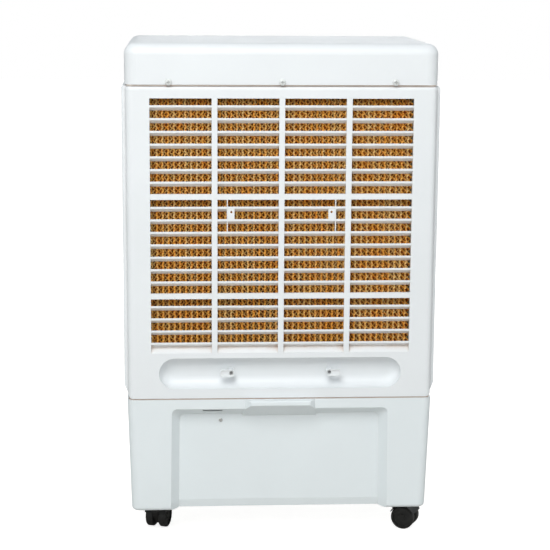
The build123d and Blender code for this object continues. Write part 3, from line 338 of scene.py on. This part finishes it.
def wet_pad(name):
    """Kraft paper sheets soaked in resin: fibres, wet streaks, and painted shade that darkens the paper
    deeper behind the face, so the cut edges at the face look paler.
    """
    material, tree, shader = new_material(name)
    where = place(tree)
    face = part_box("cooling_pad")[0].y
    depth = add(tree, "SeparateXYZ", {0: where}).outputs["Y"]
    inside = ranged(tree, depth, 0.0, 1.0, face, face + PAPER_SHADE_FULL_AT)
    fibres = noise(tree, place(tree, FIBRE_STRETCH), *PAPER_FIBRES)
    soak = noise(tree, where, *PAPER_SOAK)
    sheets = noise(tree, place(tree, SHEET_STRETCH), *PAPER_SHEETS)
    paper = mixed(tree, ranged(tree, soak, 0.0, 1.0), rgba(PAPER_DRY), rgba(PAPER_WET))
    paper = mixed(tree, ranged(tree, sheets, 0.0, 0.7, 0.45, 0.62), paper, rgba(PAPER_PALE))
    paper = mixed(tree, ranged(tree, fibres, 0.0, 0.35, 0.45, 0.7), paper, rgba(PAPER_FIBRE))
    # Painted shade: the paper turns dark deeper in the flutes.
    deep = maths(tree, "MULTIPLY", inside, PAPER_DEEP_SHADE_SHARE)
    paper = mixed(tree, deep, paper, rgba(PAPER_DEEP_SHADE))
    tree.links.new(paper, shader.inputs["Base Color"])
    tree.links.new(ranged(tree, soak, 0.55, 0.85), shader.inputs["Roughness"])
    tree.links.new(bumped(tree, (fibres, 0.5, 0.2 * MM)), shader.inputs["Normal"])
    return material


def brushed_metal(name, colour, roughness, stretch):
    """Bare or zinc-plated steel with drawn lines and faint stains."""
    material, tree, shader = new_material(name)
    where = place(tree)
    lines = noise(tree, place(tree, stretch), *DRAWN_LINES)
    stains = noise(tree, where, *METAL_STAINS)
    tone = mixed(tree, ranged(tree, stains, 0.0, 0.8), rgba(colour), rgba(scaled(colour, 0.7)))
    bright = maths(tree, "MULTIPLY", edge_mask(tree, 0.4 * MM), 0.6)
    tone = mixed(tree, bright, tone, rgba(BRIGHT_EDGE))
    tree.links.new(tone, shader.inputs["Base Color"])
    tree.links.new(ranged(tree, lines, roughness - 0.08, roughness + 0.12), shader.inputs["Roughness"])
    tree.links.new(bumped(tree, (lines, 0.15, 0.05 * MM)), shader.inputs["Normal"])
    shader.inputs["Metallic"].default_value = 1.0
    return material


def painted_metal(name, colour, roughness):
    """Enamel with orange peel, chipped a little at the edges."""
    material, tree, shader = new_material(name)
    where = place(tree)
    peel = noise(tree, where, *ORANGE_PEEL)
    stains = noise(tree, where, *PAINT_STAINS)
    chips = noise(tree, where, *PAINT_CHIPS)
    tone = mixed(tree, ranged(tree, stains, 0.0, 0.25), rgba(colour), rgba(scaled(colour, 0.6)))
    worn = maths(tree, "MULTIPLY", edge_mask(tree, 0.5 * MM), ranged(tree, chips, 0.0, 1.0, 0.52, 0.60))
    tone = mixed(tree, worn, tone, rgba(BARE_STEEL))
    darker_in_corners = maths(tree, "MULTIPLY", crevice_mask(tree, METAL_CORNER_REACH), METAL_CORNER_SHARE)
    tone = mixed(tree, darker_in_corners, tone, rgba(METAL_CORNER_COLOUR))
    tree.links.new(tone, shader.inputs["Base Color"])
    tree.links.new(ranged(tree, stains, roughness - 0.05, roughness + 0.1), shader.inputs["Roughness"])
    tree.links.new(bumped(tree, (peel, 0.12, 0.1 * MM)), shader.inputs["Normal"])
    shader.inputs["Coat Weight"].default_value = 0.3
    shader.inputs["Coat Roughness"].default_value = 0.15
    return material


def rubber(name, colour, roughness):
    """Soft rubber with a bloom of dust and a fine matt skin."""
    material, tree, shader = new_material(name)
    where = place(tree)
    bloom = noise(tree, where, *RUBBER_BLOOM)
    skin = noise(tree, where, *RUBBER_SKIN)
    pale = [channel + (0.5 - channel) * 0.25 for channel in colour]
    tone = mixed(tree, ranged(tree, bloom, 0.0, 0.8), rgba(colour), rgba(pale))
    tree.links.new(tone, shader.inputs["Base Color"])
    tree.links.new(ranged(tree, bloom, roughness - 0.05, roughness + 0.12), shader.inputs["Roughness"])
    tree.links.new(bumped(tree, (skin, 0.15, 0.08 * MM)), shader.inputs["Normal"])
    return material


def clear_plastic(name):
    """The level window: clear acrylic with a water-scale haze towards its lower end."""
    material, tree, shader = new_material(name)
    where = place(tree)
    low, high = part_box("level_window")
    height = add(tree, "SeparateXYZ", {0: where}).outputs["Z"]
    haze = noise(tree, where, *WATER_SCALE)
    scale = maths(tree, "MULTIPLY", ranged(tree, height, 0.5, 0.0, low.z, high.z), haze)
    tree.links.new(maths(tree, "ADD", scale, WINDOW_ROUGHNESS), shader.inputs["Roughness"])
    tint = mixed(tree, haze, rgba(WINDOW_BLUE), rgba(WINDOW_PALE))
    tree.links.new(tint, shader.inputs["Base Color"])
    shader.inputs["Transmission Weight"].default_value = 0.85
    shader.inputs["IOR"].default_value = 1.49
    return material


MATERIALS = {
    "white_plastic": moulded("white_plastic", (0.80, 0.835, 0.855), 0.40),
    # Painted brown light thrown back by the wet pad, with painted shade, under and between the louver
    # slats.
    "pad_shade_plastic": moulded("pad_shade_plastic", (0.80, 0.835, 0.855), 0.40, dust_and_shade=(0.50, 0.30, 0.16),
                               dust_and_shade_share=0.80, dust_and_shade_reach=22 * MM),
    # Painted shade in the seams: the plates that show there are darkened and warmed, with more in their
    # gaps.
    "seam_shade_plastic": moulded("seam_shade_plastic", (0.62, 0.56, 0.50), 0.60, dust_and_shade=(0.40, 0.17, 0.10),
                             dust_and_shade_share=0.95, dust_and_shade_reach=14 * MM),
    "tank_plastic": moulded("tank_plastic", (0.785, 0.845, 0.865), 0.44),
    "inner_plastic": moulded("inner_plastic", (0.66, 0.69, 0.70), 0.55, grain=0.10),
    "louver_plastic": moulded("louver_plastic", (0.76, 0.79, 0.81), 0.42),
    "fascia_plastic": moulded("fascia_plastic", (0.10, 0.115, 0.13), 0.32, grain=0.08, wear=0.08,
                              coat=0.3),
    "knob_plastic": moulded("knob_plastic", (0.72, 0.75, 0.77), 0.30, grain=0.03, coat=0.2),
    "black_plastic": moulded("black_plastic", (0.022, 0.022, 0.021), 0.45, grain=0.18, wear=0.10,
                             dust_and_shade=(0.20, 0.18, 0.15), dust_and_shade_share=0.35),
    "castor_black": moulded("castor_black", (0.004, 0.004, 0.0035), 0.50, grain=0.10, wear=0.02,
                            dust_and_shade=(0.08, 0.07, 0.055), dust_and_shade_share=0.10),
    "fan_plastic": moulded("fan_plastic", (0.46, 0.50, 0.53), 0.40, grain=0.06),
    "float_plastic": moulded("float_plastic", (0.78, 0.26, 0.04), 0.42),
    "pad_cellulose": wet_pad("pad_cellulose"),
    "motor_paint": painted_metal("motor_paint", (0.06, 0.065, 0.07), 0.40),
    "bracket_steel": painted_metal("bracket_steel", (0.30, 0.31, 0.32), 0.45),
    "screw_white": painted_metal("screw_white", (0.72, 0.75, 0.74), 0.30),
    "steel": brushed_metal("steel", (0.62, 0.62, 0.61), 0.30, (1.0, 0.05, 1.0)),
    "hose_rubber": rubber("hose_rubber", (0.45, 0.49, 0.51), 0.45),
    "plug_rubber": rubber("plug_rubber", (0.03, 0.03, 0.03), 0.65),
    "clear_window": clear_plastic("clear_window"),
}


# Painted shade: brown light from the wet pad on the louvers, and seam shade on the two plates in the
# seams.
PAINTED_SHADE_SLOTS = {
    "rear_louvers": "pad_shade_plastic",
    "upper_frame": "seam_shade_plastic",
    "deck_plate": "seam_shade_plastic",
}


def dress_nodes():
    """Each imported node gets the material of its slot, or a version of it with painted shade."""
    for part in frame["record"]["subparts"]:
        slot = PAINTED_SHADE_SLOTS.get(part["node"], part["material_slot"])
        mesh = nodes[part["node"]].data
        mesh.materials.clear()
        mesh.materials.append(MATERIALS[slot])


# ---------------------------------------------------------------- wet pad

def corrugated_sheet(bm, x, half_wave, slope, phase, low, high):
    """One fluted sheet between the pad's faces, which sways sideways half-way through."""
    middle = (low.y + high.y) / 2
    depths = (low.y, low.y + PAD_FIRST_ROW, middle, high.y)
    sway = -SHEET_SWAY * math.sin(math.pi * x / (high.x - low.x))
    shift = math.tan(slope) * (high.y - low.y)
    step = FLUTE_LENGTH / ROWS_PER_FLUTE
    first = low.z - abs(shift) - FLUTE_LENGTH
    count = int((high.z - low.z + 2 * abs(shift) + 2 * FLUTE_LENGTH) / step)
    rows = []
    for i in range(count):
        height = first + i * step
        wave = half_wave * math.sin(2 * math.pi * height / FLUTE_LENGTH + phase)
        row = []
        for y in depths:
            z = height + math.tan(slope) * (y - low.y)
            loose = 1.0 if y == low.y else WANDER_INSIDE
            waves = (math.sin(WANDER_SLOW * z + WANDER_OFFSET * phase),
                     math.sin(WANDER_QUICK * z + phase))
            lean = loose * WANDER * waves[0] * waves[1]
            aside = sway if y == middle else 0.0
            row.append(bm.verts.new((x + wave + lean + aside, y, z)))
        rows.append(row)
    for lower, upper in zip(rows, rows[1:]):
        for i in range(len(depths) - 1):
            bm.faces.new((lower[i], lower[i + 1], upper[i + 1], upper[i]))


def trim(bm, height, normal_z):
    """Cut the sheets level at a height and drop what lies beyond it."""
    geometry = bm.verts[:] + bm.edges[:] + bm.faces[:]
    bmesh.ops.bisect_plane(bm, geom=geometry, plane_co=(0, 0, height), plane_no=(0, 0, normal_z),
                           clear_outer=True)


def cooling_pad():
    """The block of corrugated sheets that stands for the frame's plain pad."""
    low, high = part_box("cooling_pad")
    draw = random.Random(PAD_SEED)
    inset = Vector((SHEET_THICKNESS, SHEET_THICKNESS, SHEET_THICKNESS))
    low, high = low + inset, high - inset
    count = round((high.x - low.x) / SHEET_PITCH)
    pitch = (high.x - low.x) / count
    half_wave = pitch / 2 - WANDER
    bm = bmesh.new()
    for i in range(count):
        phase = draw.uniform(0, 2 * math.pi)
        slope = FLUTE_SLOPES[i % 2]
        corrugated_sheet(bm, low.x + pitch * (i + 0.5), half_wave, slope, phase, low, high)
    trim(bm, high.z, 1)
    trim(bm, low.z, -1)
    for face in bm.faces:
        face.smooth = True
    mesh = bpy.data.meshes.new("cooling_pad_sheets")
    bm.to_mesh(mesh)
    bm.free()
    pad = bpy.data.objects.new("cooling_pad_sheets", mesh)
    bpy.context.scene.collection.objects.link(pad)
    mesh.materials.append(MATERIALS["pad_cellulose"])
    paper = pad.modifiers.new("paper", "SOLIDIFY")
    paper.thickness = SHEET_THICKNESS
    paper.offset = 0.0
    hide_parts("cooling_pad")
    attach(pad, "cabinet")


# ---------------------------------------------------------------- small pieces

def new_piece(name, bm, slot):
    """A finished mesh as an object that rides on the cabinet, in a slot's material."""
    mesh = bpy.data.meshes.new(name)
    bm.to_mesh(mesh)
    bm.free()
    piece = bpy.data.objects.new(name, mesh)
    bpy.context.scene.collection.objects.link(piece)
    mesh.materials.append(MATERIALS[slot])
    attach(piece, "cabinet")


def slab(bm, centre, size, turn=0.0):
    """A block of a given size, turned about Y, its corners rounded by a small bevel."""
    shape = Matrix.Diagonal((*size, 1.0))
    spot = Matrix.Translation(centre) @ Matrix.Rotation(turn, 4, "Y") @ shape
    made = bmesh.ops.create_cube(bm, size=1.0, matrix=spot)
    edges = list({edge for vert in made["verts"] for edge in vert.link_edges})
    bmesh.ops.bevel(bm, geom=edges, offset=min(size) * SLAB_ROUNDING, segments=SLAB_SEGMENTS,
                    affect="EDGES")


def number_label(name, digits, place_at):
    """A printed number that reads upright from the front of the cooler."""
    text = bpy.data.curves.new(name, "FONT")
    text.body = digits
    text.size = NUMBER_SIZE
    text.align_x = "CENTER"
    text.align_y = "CENTER"
    text.extrude = PRINT_THICKNESS / 2
    text.materials.append(MATERIALS["knob_plastic"])
    label = bpy.data.objects.new(name, text)
    label.location = place_at
    label.rotation_euler = (math.radians(90), 0, math.radians(180))
    bpy.context.scene.collection.objects.link(label)
    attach(label, "cabinet")


def dial_marks(knob, sweep, numbers):
    """A tick and a number for each stop of a knob, clockwise from its upright rest position."""
    low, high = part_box(knob)
    middle = (low + high) / 2
    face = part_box("control_panel")[1].y + PRINT_THICKNESS / 2
    dial_centre = Vector((middle.x, face, middle.z))
    bm = bmesh.new()
    for i, digits in enumerate(numbers):
        angle = math.radians(sweep) * i / (len(numbers) - 1)
        outward = Vector((-math.sin(angle), 0.0, math.cos(angle)))
        slab(bm, dial_centre + outward * TICK_RADIUS, TICK_SIZE, -angle)
        upright = abs(outward.z) > UPRIGHT_HEIGHT
        reach = NUMBER_RADIUS_UPRIGHT if upright else NUMBER_RADIUS
        number_label(f"{knob}_number_{i}", digits, dial_centre + outward * reach)
    new_piece(f"{knob}_ticks", bm, "knob_plastic")


def hook_screw(side, inward):
    """The dark cross-head screw sunk in a cord hook's post."""
    low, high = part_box(f"cord_hook_{side}")
    length, height = high.x - low.x, high.z - low.z
    x = (low.x + high.x) / 2 + inward * (length - height) / 2
    z = (low.z + high.z) / 2
    seat = low.y + HOOK_SCREW_DEPTH
    bm = bmesh.new()
    upright = Matrix.Rotation(math.radians(90), 4, "X")
    head = Matrix.Translation((x, seat - HOOK_SCREW_HEAD / 2, z)) @ upright
    bmesh.ops.create_cone(bm, cap_ends=True, segments=HOOK_SCREW_SIDES, radius1=HOOK_SCREW_RADIUS,
                          radius2=HOOK_SCREW_RADIUS * HOOK_SCREW_TAPER, depth=HOOK_SCREW_HEAD,
                          matrix=head)
    for turn in (CROSS_TURN, CROSS_TURN + math.pi / 2):
        slab(bm, (x, seat - HOOK_SCREW_HEAD, z), CROSS_SIZE, turn)
    new_piece(f"hook_screw_{side}", bm, "bracket_steel")


# ---------------------------------------------------------------- studio

def camera():
    """The camera behind the cooler, a little above it and looking slightly down."""
    forward = Vector((math.sin(CAMERA_YAW) * math.cos(CAMERA_PITCH),
                      math.cos(CAMERA_YAW) * math.cos(CAMERA_PITCH),
                      -math.sin(CAMERA_PITCH)))
    turn = forward.to_track_quat("-Z", "Y").to_matrix() @ Matrix.Rotation(CAMERA_ROLL, 3, "Z")
    data = bpy.data.cameras.new("camera")
    data.lens = CAMERA_LENS
    data.sensor_width = CAMERA_SENSOR
    data.sensor_fit = "HORIZONTAL"
    data.clip_end = CAMERA_FAR_CLIP
    thing = bpy.data.objects.new("camera", data)
    thing.matrix_world = Matrix.Translation(CAMERA_PLACE) @ turn.to_4x4()
    bpy.context.scene.collection.objects.link(thing)
    bpy.context.scene.camera = thing


def soft_box(name, place_at, width, height, watts, tint):
    """A rectangular soft light, turned towards the point that all lights are aimed at."""
    data = bpy.data.lights.new(name, "AREA")
    data.shape = "RECTANGLE"
    data.size = width
    data.size_y = height
    data.energy = watts
    data.color = tint
    thing = bpy.data.objects.new(name, data)
    thing.location = place_at
    aim = Vector(LIGHT_AIM) - Vector(place_at)
    thing.rotation_euler = aim.to_track_quat("-Z", "Y").to_euler()
    bpy.context.scene.collection.objects.link(thing)


def floor():
    """A wide pale floor: paper white to the eye, greyer near the cooler and in what it throws back."""
    mesh = bpy.data.meshes.new("floor")
    corners = [(x * FLOOR_REACH, y * FLOOR_REACH, 0) for x, y in ((-1, -1), (1, -1), (1, 1), (-1, 1))]
    mesh.from_pydata(corners, [], [(0, 1, 2, 3)])
    thing = bpy.data.objects.new("floor", mesh)
    bpy.context.scene.collection.objects.link(thing)
    material, tree, shader = new_material("floor_paper")
    shader.inputs["Base Color"].default_value = rgba(FLOOR_COLOUR)
    shader.inputs["Roughness"].default_value = 0.9
    shader.inputs["Specular IOR Level"].default_value = 0.1
    away = add(tree, "VectorMath", {0: place(tree)}, operation="LENGTH").outputs["Value"]
    strength = ranged(tree, away, FLOOR_GLOW_NEAR, FLOOR_GLOW_FAR, FLOOR_NEAR, FLOOR_FAR)
    glow = add(tree, "Emission", {"Color": rgba(WHITE), "Strength": strength})
    seen = add(tree, "LightPath").outputs["Is Camera Ray"]
    both = add(tree, "AddShader", {0: shader.outputs["BSDF"], 1: glow.outputs["Emission"]})
    chosen = add(tree, "MixShader", {0: seen, 1: shader.outputs["BSDF"], 2: both.outputs["Shader"]})
    output = next(node for node in tree.nodes if node.type == "OUTPUT_MATERIAL")
    tree.links.new(chosen.outputs["Shader"], output.inputs["Surface"])
    mesh.materials.append(material)


def studio():
    """White surroundings, a large soft light over the camera and weaker ones round the rest."""
    world = bpy.data.worlds.new("studio")
    bpy.context.scene.world = world
    world.use_nodes = True
    tree = world.node_tree
    tree.nodes.clear()
    upward = add(tree, "SeparateXYZ", {0: add(tree, "TexCoord").outputs["Generated"]}).outputs["Z"]
    brightness = ranged(tree, upward, ROOM_WALLS, ROOM_CEILING, ROOM_WALL_TOP, ROOM_CEILING_EDGE)
    room = add(tree, "Background", {"Color": rgba(ROOM_COLOUR), "Strength": brightness})
    paper = add(tree, "Background", {"Color": rgba(WHITE), "Strength": 1.0})
    seen = add(tree, "LightPath").outputs["Is Camera Ray"]
    chosen = add(tree, "MixShader", {0: seen, 1: room.outputs["Background"],
                                     2: paper.outputs["Background"]})
    add(tree, "OutputWorld", {"Surface": chosen.outputs["Shader"]})
    for name, settings in LIGHTS.items():
        soft_box(name, *settings)
    bpy.context.scene.view_settings.view_transform = "Standard"
    floor()


dress_nodes()
cooling_pad()
for knob, (sweep, numbers) in KNOB_STOPS.items():
    dial_marks(knob, sweep, numbers)
hook_screw("left", 1)
hook_screw("right", -1)
camera()
studio()
